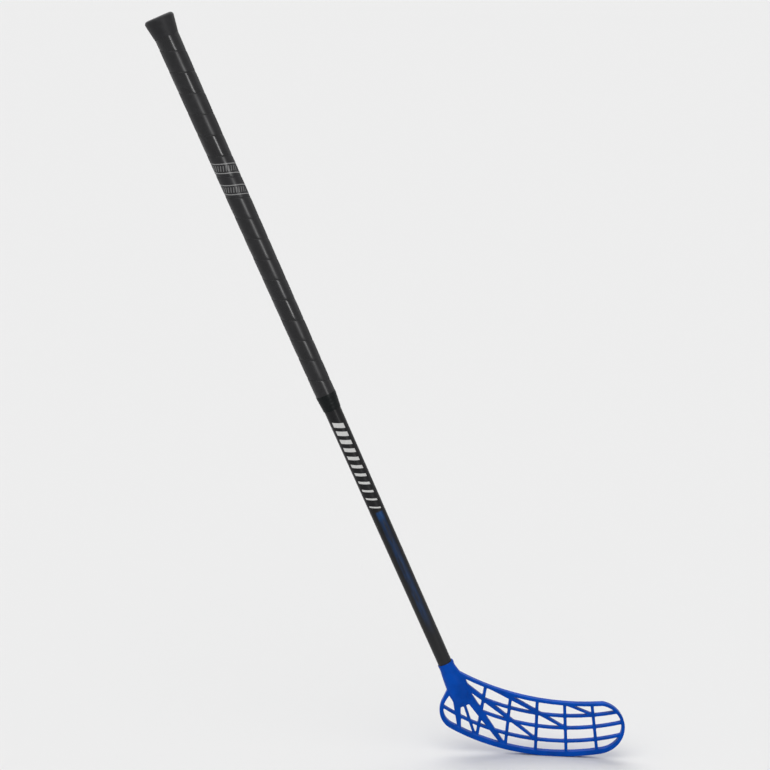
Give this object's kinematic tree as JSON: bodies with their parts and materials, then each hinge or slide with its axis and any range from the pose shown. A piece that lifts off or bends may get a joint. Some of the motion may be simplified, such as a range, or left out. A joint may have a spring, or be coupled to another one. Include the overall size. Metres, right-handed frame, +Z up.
{
  "type": "floorball stick",
  "caption": "Floorball stick: slim tapered shaft with a wound grip and a flared end knob, and a hooked openwork plastic blade screwed to its tip.",
  "frame": {"origin": "on the shaft axis where a hand holds the grip, 289 mm from the butt end", "axes": "+Z up with the stick standing as it is played, +X towards the toe of the blade, +Y away from the hitting face"},
  "size_m": [0.6411, 0.0503, 1.0221],
  "materials": {
    "shaft": "satin lacquer over fibre composite, graphite grey",
    "knob": "matte, moulded, near black",
    "grip": "soft polyurethane ribbon, charcoal, fine grain",
    "tape": "stretched finishing tape, dark, satin",
    "blade": "moulded polyethylene, saturated blue, waxy",
    "screws": "zinc plated"
  },
  "bodies": {
    "root": {"shaft_tube": "shaft", "end_knob": "knob", "grip_wrap": "grip", "finishing_tape": "tape", "blade": "blade", "upper_blade_screw": "screws", "lower_blade_screw": "screws"}
  },
  "joints": []
}
